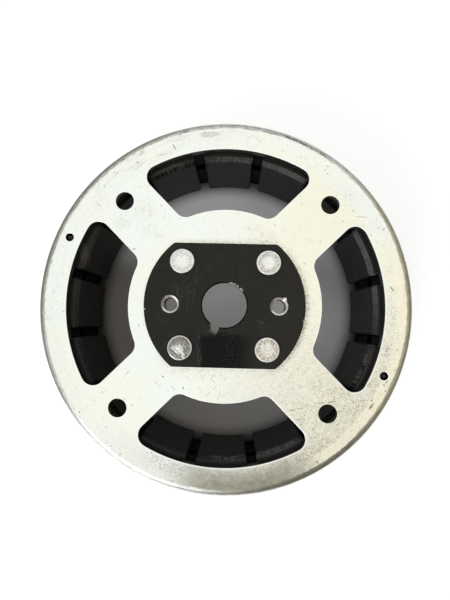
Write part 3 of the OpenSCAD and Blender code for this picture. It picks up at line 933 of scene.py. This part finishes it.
def ring_pattern():
    """Geometry tree that repeats a piece round the Z axis and gives it a material."""
    tree = bpy.data.node_groups.new("ring_pattern", "GeometryNodeTree")
    for name, way, kind in (("Geometry", "INPUT", "Geometry"), ("Count", "INPUT", "Int"),
                            ("First Angle", "INPUT", "Float"), ("Material", "INPUT", "Material"),
                            ("Geometry", "OUTPUT", "Geometry")):
        tree.interface.new_socket(name, in_out=way, socket_type="NodeSocket" + kind)
    given = tree.nodes.new("NodeGroupInput").outputs
    points = add(tree, "GeometryNodeMeshLine", {"Count": given["Count"],
                                                "Offset": (0, 0, 0)}, mode="OFFSET")
    pitch = maths(tree, "DIVIDE", FULL_TURN, given["Count"])
    turned = maths(tree, "MULTIPLY", add(tree, "GeometryNodeInputIndex"), pitch)
    angle = maths(tree, "ADD", turned, given["First Angle"])
    copies = add(tree, "GeometryNodeInstanceOnPoints",
                 {"Points": points, "Instance": given["Geometry"],
                  "Rotation": add(tree, "ShaderNodeCombineXYZ", {"Z": angle})})
    real = add(tree, "GeometryNodeRealizeInstances", {"Geometry": copies})
    painted = add(tree, "GeometryNodeSetMaterial",
                  {"Geometry": real, "Material": given["Material"]})
    tree.links.new(painted.outputs[0], tree.nodes.new("NodeGroupOutput").inputs[0])
    return tree


def grow(piece, tree, **values):
    """Runs a geometry tree on a piece with these inputs and keeps the result as plain mesh."""
    modifier = piece.modifiers.new(tree.name, "NODES")
    modifier.node_group = tree
    for item in tree.interface.items_tree:
        name = item.name.replace(" ", "_").lower()
        if item.in_out == "INPUT" and name in values:
            modifier[item.identifier] = values[name]
    bpy.context.view_layer.update()
    shaped = piece.evaluated_get(bpy.context.evaluated_depsgraph_get())
    mesh = bpy.data.meshes.new_from_object(shaped)
    mesh.name = piece.name
    piece.modifiers.remove(modifier)
    old, piece.data = piece.data, mesh
    bpy.data.meshes.remove(old)
    return piece


def make_rivet():
    """One rivet on the X axis, its head dished where the punch struck it."""
    bm = bmesh.new()
    dish = [(DISH_R * i / 8, HEAD_TOP - DISH_H * (1 - (i / 8) ** 2)) for i in range(1, 9)]
    tail_end = WEB_UNDER - TAIL_H
    profile = dish + eased([dish[-1], (HEAD_R, HEAD_TOP), (HEAD_R, FLANGE_TOP),
                            (SHANK_R, FLANGE_TOP), (SHANK_R, WEB_UNDER), (TAIL_R, WEB_UNDER),
                            (TAIL_R, WEB_UNDER - TAIL_H / 2), (TAIL_R - TAIL_H / 2, tail_end),
                            (TAIL_MIDDLE_R, tail_end)], HEAD_EASE, 4)[1:]
    loops = lathe(bm, profile, 72)
    lid(bm, [loops[0]])
    lid(bm, [loops[-1]])
    for vert in bm.verts:
        vert.co.x += RIVET_R
    return finish_mesh(bm, "hub_rivets", 50)


def rivet_steel():
    material, tree, shader, place = new_material("rivet_steel")
    at = round_about(tree, place)
    # each place's distance from the middle of its own rivet
    folded = add(tree, "ShaderNodeVectorMath", {0: place}, operation="ABSOLUTE")
    centre = RIVET_R * math.sqrt(0.5)
    own = add(tree, "ShaderNodeVectorMath", {0: folded, 1: (centre, centre, 0)},
              operation="SUBTRACT")
    out = round_about(tree, own).radius
    blotch = noise(tree, place, 950, 5, 0.75, 0.4)
    fine = noise(tree, place, 2400, 3, 0.6)
    browned = noise(tree, place, 1350, 4, 0.7, 0.6)
    colour = tint(tree, grade(tree, fine, 0.50, 0.64, 0.0, 0.5), (0.93, 0.93, 0.90),
                  (0.52, 0.50, 0.43))
    # scale stays in a ring just inside the bright struck edge, thicker and browner on the right
    on_right = grade(tree, at.x, -0.001, 0.001)
    in_front = grade(tree, at.y, 0.001, -0.001)
    scale = times(tree, grade(tree, out, 0.0024, 0.0042), grade(tree, out, 0.0060, 0.0054),
                  grade(tree, fine, 0.42, 0.58), grade(tree, on_right, 0, 1, 0.6, 0.3))
    colour = tint(tree, scale, colour, (0.31, 0.285, 0.22))
    colour = tint(tree, times(tree, on_right, in_front, 0.5), colour, (0.86, 0.80, 0.66))
    brown_ring = times(tree, grade(tree, out, 0.0018, 0.0040), grade(tree, out, 0.0057, 0.0052),
                       grade(tree, in_front, 0, 1, 0.65, 0.95))
    patches = times(tree, on_right, grade(tree, browned, 0.42, 0.56),
                    strongest(tree, brown_ring, times(tree, in_front, 0.40)))
    colour = tint(tree, patches, colour, (0.31, 0.265, 0.18))
    crossed = times(tree, on_right, grade(tree, out, 0.0044, 0.0034), strongest(tree, *[
        grade(tree, streaks(tree, place, degrees, 160, 1600, 3, 0.6), 0.56, 0.64)
        for degrees in (38, 118)]))
    colour = tint(tree, times(tree, crossed, 0.8), colour, (0.95, 0.94, 0.90))
    colour, scored = scored_head(tree, at, out, fine, browned, colour)
    hairlines = grade(tree, streaks(tree, place, 44, 120, 2600, 2, 0.5), 0.58, 0.68)
    colour = tint(tree, times(tree, hairlines, 0.42), colour, (0.45, 0.43, 0.38))
    # the rim of each head is bright where it was struck, with a painted highlight along its
    # rounded edge
    edge = times(tree, grade(tree, out, 0.0054, 0.0058), grade(tree, blotch, 0.25, 0.50, 1, 0.7))
    colour = tint(tree, edge, colour, (0.90, 0.90, 0.87))
    relief = maths(tree, "ADD", blotch, times(tree, scored, -0.5))
    finish_shader(tree, shader, {"Base Color": colour, "Metallic": 1.0,
                                 "Roughness": grade(tree, blotch, 0.3, 0.7, 0.30, 0.46)},
                  relief, 0.5, 0.12 * MM)
    return material


def scored_head(tree, at, out, fine, browned, colour):
    """The front left head is duller, dark in a ring, creased and scored across; returns the
    colour and the scores."""
    front_left = times(tree, grade(tree, at.x, 0.0, -0.001), grade(tree, at.y, 0.0, -0.001))
    colour = tint(tree, times(tree, front_left, grade(tree, fine, 0.35, 0.55, 0.5, 0.85)),
                  colour, (0.36, 0.355, 0.31))
    dark_ring = times(tree, front_left, grade(tree, out, 0.0016, 0.0034),
                      grade(tree, out, 0.0059, 0.0053), grade(tree, browned, 0.36, 0.54))
    colour = tint(tree, times(tree, dark_ring, 0.85), colour, (0.13, 0.12, 0.095))
    struck = grade(tree, spot(tree, wobbled(tree, at.place, 0.5, 500), -21.6, -21.8, 5.4, 8.5, 8,
                              HEAD_TOP), 0.25, 0.55)
    stroked = grade(tree, streaks(tree, at.place, 78, 200, 1500, 3, 0.6), 0.42, 0.58)
    colour = tint(tree, times(tree, struck, stroked, 0.85), colour, (0.88, 0.88, 0.85))
    shaken = wobbled(tree, at.place, 0.3, 500)
    creases = strongest(tree, *[
        hairline(tree, shaken, width, *points, height=HEAD_TOP) for width, *points in (
            (0.5, (-21.6, -18.6), (-23.0, -20.6), (-23.9, -22.2)),
            (0.6, (-21.4, -18.8), (-19.9, -20.8), (-18.6, -23.0)),
            (0.4, (-23.6, -22.6), (-21.0, -23.0), (-18.9, -23.2)))])
    colour = tint(tree, times(tree, creases, 0.9), colour, (0.16, 0.155, 0.13))
    scored = times(tree, grade(tree, streaks(tree, at.place, -42, 150, 1500, 3, 0.6), 0.49, 0.56),
                   grade(tree, fine, 0.30, 0.50, 0.4, 0.85),
                   grade(tree, spot(tree, at.place, -22.8, -24.4, 10.5, 7.5, -38, HEAD_TOP),
                         0.05, 0.30))
    return tint(tree, scored, colour, (0.95, 0.95, 0.94)), scored


ring = ring_pattern()
rivets = grow(make_rivet(), ring, count=len(DIAGONALS), first_angle=math.radians(DIAGONALS[0]),
              material=rivet_steel())
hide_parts("rivet_1", "rivet_2", "rivet_3", "rivet_4")
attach(rivets, "root")


# ---- Magnets ----------------------------------------------------------------------------------
# Sixteen sintered ferrite arcs, glued to the skirt. Their faces are ground; the chamfers along the
# inner edges are painted pale where they face the window light, a painted reflection, and brittle
# corners have small chips.

MAGNET_COUNT = 16
magnet_low, magnet_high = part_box("magnet_01")
MAGNET_TOP = magnet_high.z
MAGNET_END = magnet_low.z
MAGNET_OUT_R = SKIRT_IN_R - 0.1 * MM
MAGNET_IN_R = 77.5 * MM
HALF_PITCH = math.pi / MAGNET_COUNT
HALF_GAP = 2.65 * MM
MAGNET_CHAMFER = 2.25 * MM
SIDE_CHAMFER = 0.8 * MM
MAGNET_EDGE = 0.25 * MM


def magnet_outline(inner_r, inset):
    """Plan of a magnet about +X: arcs inside and out, and flanks parallel to the gap."""
    gap, outer_r = HALF_GAP + inset, MAGNET_OUT_R - inset
    inner_r += inset
    in_a, out_a = (HALF_PITCH - math.asin(gap / r) for r in (inner_r, outer_r))
    nip = SIDE_CHAMFER / inner_r
    flank = (polar(outer_r, out_a) - polar(inner_r, in_a)).normalized()
    inner = arc((0, 0), inner_r, -in_a + nip, in_a - nip, 28)
    outer = arc((0, 0), outer_r, out_a, -out_a, 20)
    upper = [polar(inner_r, in_a) + flank * SIDE_CHAMFER]
    lower = [Vector((upper[0].x, -upper[0].y, 0))]
    return inner + upper + outer + lower


def make_magnet():
    """One magnet, its inner edges chamfered at both ends."""
    # for each loop: how far it lies from the end, behind the inner face and inside the outline
    rounding = [(0, MAGNET_CHAMFER + 0.1 * MM, MAGNET_EDGE),
                (0.08 * MM, MAGNET_CHAMFER - 0.05 * MM, 0.08 * MM)]
    rounding += [(step * MM, MAGNET_CHAMFER - step * MM, 0) for step in (0.25, 0.75, 1.25, 1.75)]
    rounding += [(2.10 * MM, 0.15 * MM, 0), (2.25 * MM, 0.05 * MM, 0), (2.45 * MM, 0, 0),
                 (3.0 * MM, 0, 0)]
    bm = bmesh.new()
    loops = [loop(bm, magnet_outline(MAGNET_IN_R + back, inset), MAGNET_TOP - lift)
             for lift, back, inset in rounding]
    end = [loop(bm, magnet_outline(MAGNET_IN_R + back, inset), MAGNET_END + lift)
           for lift, back, inset in rounding]
    loops += end[::-1]
    skin(bm, loops)
    lid(bm, [loops[0]])
    lid(bm, [loops[-1]])
    return finish_mesh(bm, "ferrite_magnets", 35)


def ferrite():
    material, tree, shader, place = new_material("ferrite")
    at = round_about(tree, place)
    upward = add(tree, "ShaderNodeSeparateXYZ",
                 {0: add(tree, "ShaderNodeNewGeometry").outputs["Normal"]}).outputs["Z"]
    grain = noise(tree, place, 700, 4, 0.6)
    cloud = noise(tree, place, 120, 4, 0.6)
    colour = tint(tree, grade(tree, grain, 0.3, 0.7), (0.0060, 0.0064, 0.0064),
                  (0.0125, 0.0128, 0.0128))
    colour = tint(tree, grade(tree, cloud, 0.48, 0.70, 0, 0.6), colour,
                  (0.0190, 0.0180, 0.0155))
    # ground chamfers, with marks of the wheel across them: painted pale at the back right, where
    # they face the window light, as a painted reflection; olive at the back left and grey-olive at
    # the front right
    ground = times(tree, grade(tree, upward, 0.30, 0.50), grade(tree, upward, 0.97, 0.88))
    wheel = streaks(tree, at.wrapped, 0, 1400, 200, 3, 0.6)
    pale = tint(tree, bearing(tree, at, 140, 62), (0.005, 0.005, 0.0045), (0.040, 0.037, 0.027))
    pale = tint(tree, bearing(tree, at, 292, 18), pale, (0.030, 0.032, 0.028))
    pale = tint(tree, bearing(tree, at, 38, 60), pale, (0.120, 0.135, 0.128))
    pale = tint(tree, grade(tree, wheel, 0.42, 0.66, 0.0, 0.6), pale, (0.016, 0.016, 0.014))
    colour = tint(tree, ground, colour, pale)
    # some inner edges are nibbled: pale teeth at the right, and dark ones at the back left
    bars = streaks(tree, at.wrapped, 0, 1100, 60, 2, 0.6)
    low_edge = times(tree, grade(tree, at.z, MAGNET_TOP - 3.6 * MM, MAGNET_TOP - 3.0 * MM),
                     grade(tree, at.z, MAGNET_TOP - 0.4 * MM, MAGNET_TOP - 1.0 * MM))
    teeth = times(tree, low_edge, grade(tree, bars, 0.48, 0.56), grade(tree, cloud, 0.34, 0.48))
    top_edge = times(tree, grade(tree, at.radius, 0.0793, 0.0796),
                     grade(tree, at.radius, 0.0801, 0.0798),
                     grade(tree, at.z, MAGNET_TOP - 0.8 * MM, MAGNET_TOP - 0.3 * MM))
    nibbled = times(tree, strongest(tree, teeth, times(tree, top_edge, 0.45)),
                    bearing(tree, at, 337, 12))
    colour = tint(tree, nibbled, colour, (0.130, 0.130, 0.114))
    # and some are rubbed to a mottled grey
    rubbed = times(tree, ground, grains(tree, place, 800, 4, 0.75, 0.40, 0.62), strongest(
        tree, bearing(tree, at, 88, 13), bearing(tree, at, 292, 16),
        times(tree, bearing(tree, at, 272, 8), 0.7)))
    colour = tint(tree, times(tree, rubbed, 0.85), colour, (0.125, 0.135, 0.128))
    # dust and glue on the ends
    dust = times(tree, grade(tree, upward, 0.9, 0.98), grade(tree, cloud, 0.30, 0.60, 0.5, 1))
    colour = tint(tree, dust, colour, (0.020, 0.018, 0.014))
    loose = wobbled(tree, place, 1.6, 300)
    glue = strongest(tree, spot(tree, loose, -74.5, 25, 20, 7, 110, MAGNET_TOP, 9),
                     spot(tree, loose, -31, 72, 24, 6, 22, MAGNET_TOP, 5))
    colour = tint(tree, times(tree, grade(tree, glue, 0.15, 0.40), 0.75), colour,
                  (0.070, 0.064, 0.045))
    broken = times(tree, low_edge, grade(tree, bars, 0.38, 0.46),
                   grade(tree, bearing(tree, at, 110, 12), 0.0, 0.35))
    colour = tint(tree, broken, colour, (0.0028, 0.0028, 0.0025))
    # painted shade: below the spokes the chamfers and upper ends are painted black, as they lie in
    # the web's shade
    painted_shade_under_spokes = grade(tree, strongest(tree, *[bearing(tree, at, middle, 14)
                                            for middle in (45, 135, 225)]), 0.3, 0.6)
    colour = tint(tree, times(tree, painted_shade_under_spokes, grade(tree, upward, 0.30, 0.50)), colour,
                  (0.0026, 0.0026, 0.0023))
    finish_shader(tree, shader, {"Base Color": colour, "Specular IOR Level": 0.3,
                                 "Roughness": grade(tree, grain, 0.3, 0.7, 0.44, 0.58)},
                  maths(tree, "ADD", grain, times(tree, wheel, ground)), 0.3, 0.06 * MM)
    return material


magnets = grow(make_magnet(), ring, count=MAGNET_COUNT, first_angle=0.0, material=ferrite())
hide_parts(*["magnet_%02d" % i for i in range(1, MAGNET_COUNT + 1)])
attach(magnets, "root")


# ---- Magnet cages -----------------------------------------------------------------------------
# Two injection-moulded combs of filled black nylon that space the magnets: a ring with sixteen
# ribs at each end. Two pegs on the upper one stand in the web's locating holes.

upper_low, upper_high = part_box("upper_magnet_cage")
lower_low, lower_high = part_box("lower_magnet_cage")
CAGE_IN_R = 83.0 * MM
CORNER_EASE = 1.0 * MM
MOULD_EASE = 0.2 * MM
LOWER_EASE = 0.05 * MM
RIB_HALF_W = 2.55 * MM
RIB_EASE = 0.3 * MM
RIB_INSET = 0.05 * MM
RIB_OVERLAP = 1 * MM
PEG_R = 1.4 * MM
PEG_TOP = upper_high.z


def black_nylon():
    material, tree, shader, place = new_material("black_nylon")
    grain = noise(tree, place, 500, 3, 0.5)
    colour = tint(tree, grade(tree, grain, 0.3, 0.7), (0.0006, 0.0012, 0.0022),
                  (0.0014, 0.0022, 0.0034))
    # the ends of the pegs are scuffed in the middle
    middles = [polar(LOCATING_RING_R / MM, math.radians(a)) for a in LOCATING_ANGLES]
    scuffs = [spot(tree, place, middle.x, middle.y, 2.6, height=PEG_TOP, depth=1.0)
              for middle in middles]
    colour = tint(tree, grade(tree, strongest(tree, *scuffs), 0.10, 0.45), colour,
                  (0.034, 0.036, 0.034))
    finish_shader(tree, shader, {"Base Color": colour, "Roughness": 0.50,
                                 "Specular IOR Level": 0.06}, grain, 0.2, 0.05 * MM)
    return material


def rib_blank(name, low, high):
    """One rib on the X axis, between these heights."""
    bm = bmesh.new()
    bmesh.ops.create_cube(bm, size=1.0)
    for vert in bm.verts:
        vert.co.x = CAGE_IN_R + RIB_INSET if vert.co.x < 0 else MAGNET_OUT_R - RIB_INSET
        vert.co.y = math.copysign(RIB_HALF_W, vert.co.y)
        vert.co.z = low if vert.co.z < 0 else high
    bmesh.ops.bevel(bm, geom=bm.edges[:], offset=RIB_EASE, segments=2, affect="EDGES")
    return finish_mesh(bm, name)


def add_pegs(bm, foot):
    """The two pegs of the upper cage, from the height foot up to PEG_TOP."""
    for a in LOCATING_ANGLES:
        centre = polar(LOCATING_RING_R, math.radians(a))
        peg = [loop(bm, circle(centre, PEG_R - inset, 32), z)
               for inset, z in ((0, foot), (0, PEG_TOP - 0.3 * MM),
                                (0.1 * MM, PEG_TOP - 0.1 * MM), (0.3 * MM, PEG_TOP))]
        skin(bm, peg)
        lid(bm, [peg[0]])
        lid(bm, [peg[-1]])


def make_cage(name, ring_low, ring_high, rib_low, rib_high, ease, pegs=False):
    """A ring and its ribs; ease is the rounding of the ring's upper outer corner."""
    bm = bmesh.new()
    middle = (CAGE_IN_R, (ring_low + ring_high) / 2)
    profile = [middle, (CAGE_IN_R, ring_low), (MAGNET_OUT_R, ring_low),
               (MAGNET_OUT_R, ring_high - ease), (MAGNET_OUT_R - ease, ring_high),
               (CAGE_IN_R, ring_high), middle]
    loops = lathe(bm, eased(profile, MOULD_EASE)[:-1], 192)
    skin(bm, [loops[-1], loops[0]])
    if pegs:
        add_pegs(bm, ring_high - 1 * MM)
    body = finish_mesh(bm, name)
    ribs = grow(rib_blank(name + "_ribs", rib_low, rib_high), ring, count=MAGNET_COUNT,
                first_angle=HALF_PITCH, material=nylon)
    body.data.materials.append(nylon)
    bm = bmesh.new()
    bm.from_mesh(body.data)
    bm.from_mesh(ribs.data)
    bm.to_mesh(body.data)
    bm.free()
    bpy.data.objects.remove(ribs)
    return body


nylon = black_nylon()
upper_cage = make_cage("upper_cage_moulding", MAGNET_TOP, WEB_UNDER, upper_low.z,
                       MAGNET_TOP + RIB_OVERLAP, CORNER_EASE, pegs=True)
lower_cage = make_cage("lower_cage_moulding", lower_low.z, MAGNET_END,
                       MAGNET_END - RIB_OVERLAP, lower_high.z, LOWER_EASE)
for cage, node in ((upper_cage, "upper_magnet_cage"), (lower_cage, "lower_magnet_cage")):
    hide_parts(node)
    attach(cage, "root")


# ---- Floor, light and view --------------------------------------------------------------------
# The rotor lies on a plain white floor under a soft overhead light, with light from a window
# at the front left. The view is from straight above, a little to the right and front of the axis.

FLOOR_SIZE = 6.0
FLOOR_WHITE = (0.88, 0.88, 0.88)


def make_floor():
    bm = bmesh.new()
    bmesh.ops.create_grid(bm, x_segments=1, y_segments=1, size=FLOOR_SIZE / 2)
    return finish_mesh(bm, "floor")


def white_floor():
    material, tree, shader, place = new_material("white_floor")
    at = round_about(tree, place)
    # painted shade: the floor inside the cup is coloured darker, deepest on the left
    open_floor = grade(tree, at.radius, YOKE_R - 5 * MM, YOKE_R + 1 * MM)
    lit_side = maths(tree, "ADD", maths(tree, "MULTIPLY", at.y, 0.9), at.x)
    shade = tint(tree, grade(tree, lit_side, -0.075, 0.075), (0.38, 0.35, 0.31),
                 (0.78, 0.785, 0.80))
    # painted shadow on the floor next to the magnets
    painted_shadow_by_magnets = grade(tree, at.radius, 0.071, 0.083, 1.0, 0.15)
    shade = tint(tree, painted_shadow_by_magnets, (0.03, 0.03, 0.03), shade)
    plug(tree, shader.inputs["Base Color"], tint(tree, open_floor, shade, FLOOR_WHITE))
    plug(tree, shader.inputs["Roughness"], 0.9)
    plug(tree, shader.inputs["Specular IOR Level"], 0.0)
    # painted light: the floor glows where it is seen through the bore, the puller holes and the
    # windows
    across = maths(tree, "SUBTRACT", at.y, at.x)
    under_bore = times(tree, grade(tree, at.radius, 0.030, 0.012),
                       grade(tree, across, -0.020, 0.024, 0.070, 0.122))
    under_windows = strongest(tree, times(tree, grade(tree, at.y, 0.020, 0.050), 0.105),
                              times(tree, grade(tree, at.y, -0.020, -0.050), 0.030))
    under_pullers = times(tree, grade(tree, at.radius, 0.026, 0.029),
                          grade(tree, at.radius, 0.046, 0.042),
                          grade(tree, at.x, -0.010, 0.010, 0.066, 0.098))
    inside = times(tree, grade(tree, at.radius, YOKE_R, YOKE_R - 10 * MM),
                   strongest(tree, under_bore, under_pullers, under_windows), painted_shadow_by_magnets)
    rays = add(tree, "ShaderNodeLightPath").outputs
    seen = strongest(tree, rays["Is Camera Ray"], rays["Is Glossy Ray"],
                     rays["Is Transmission Ray"])
    strength = times(tree, seen, maths(tree, "ADD", times(tree, open_floor, 0.40), inside))
    glow = add(tree, "ShaderNodeEmission", {"Color": (1, 1, 1), "Strength": strength})
    both = add(tree, "ShaderNodeAddShader", {0: shader, 1: glow})
    plug(tree, tree.nodes["Material Output"].inputs["Surface"], both)
    return material


floor = make_floor()
floor.data.materials.append(white_floor())

scene = bpy.context.scene
world = bpy.data.worlds.new("studio")
scene.world = world
world.use_nodes = True
sky = world.node_tree
towards = add(sky, "ShaderNodeSeparateXYZ",
              {0: add(sky, "ShaderNodeTexCoord").outputs["Generated"]}).outputs
# an even room, brighter low down behind the rotor and dimmer low down in front of it
low_down = grade(sky, towards["Z"], 0.80, 0.20)
backwards = maths(sky, "ADD", maths(sky, "MULTIPLY", towards["X"], 0.26),
                  maths(sky, "MULTIPLY", towards["Y"], 0.97))
room = tint(sky, times(sky, low_down, grade(sky, backwards, 0.3, 0.95)), (0.45, 0.45, 0.44),
            (0.80, 0.82, 0.84))
room = tint(sky, times(sky, low_down, grade(sky, backwards, -0.3, -0.9)), room,
            (0.22, 0.21, 0.20))
by_window = maths(sky, "SUBTRACT", maths(sky, "MULTIPLY", towards["X"], -0.77),
                  maths(sky, "MULTIPLY", towards["Y"], 0.64))
room = tint(sky, times(sky, grade(sky, towards["Z"], 0.5, 0.1), grade(sky, by_window, 0.70, 0.97)),
            room, (1.5, 1.5, 1.45))
plug(sky, sky.nodes["Background"].inputs["Color"], room)


def soft_lamp(name, place, aim, size, power, colour=(1, 1, 1)):
    lamp = bpy.data.lights.new(name, "AREA")
    lamp.shape, lamp.size, lamp.energy, lamp.color = "DISK", size, power, colour
    holder = bpy.data.objects.new(name, lamp)
    holder.location = place
    holder.rotation_euler = (Vector(aim) - Vector(place)).to_track_quat("-Z", "Y").to_euler()
    scene.collection.objects.link(holder)


soft_lamp("overhead_lamp", (-0.02, 0.20, 1.30), (0, 0, 0.03), 1.8, 4.85)
soft_lamp("window_lamp", (-0.547, -0.841, 0.903), (0, 0, 0.06), 0.7, 3.6, (1.0, 0.985, 0.95))

camera_data = bpy.data.cameras.new("view")
camera_data.lens = 27.9
camera_data.sensor_width = 36.0
camera_data.clip_start = 0.01
camera = bpy.data.objects.new("view", camera_data)
camera.location = (0.00501, -0.00985, 0.29716)
camera.rotation_euler = Euler([math.radians(a) for a in (3.131, 1.108, 1.41)])
scene.collection.objects.link(camera)
scene.camera = camera
scene.view_settings.view_transform = "Standard"
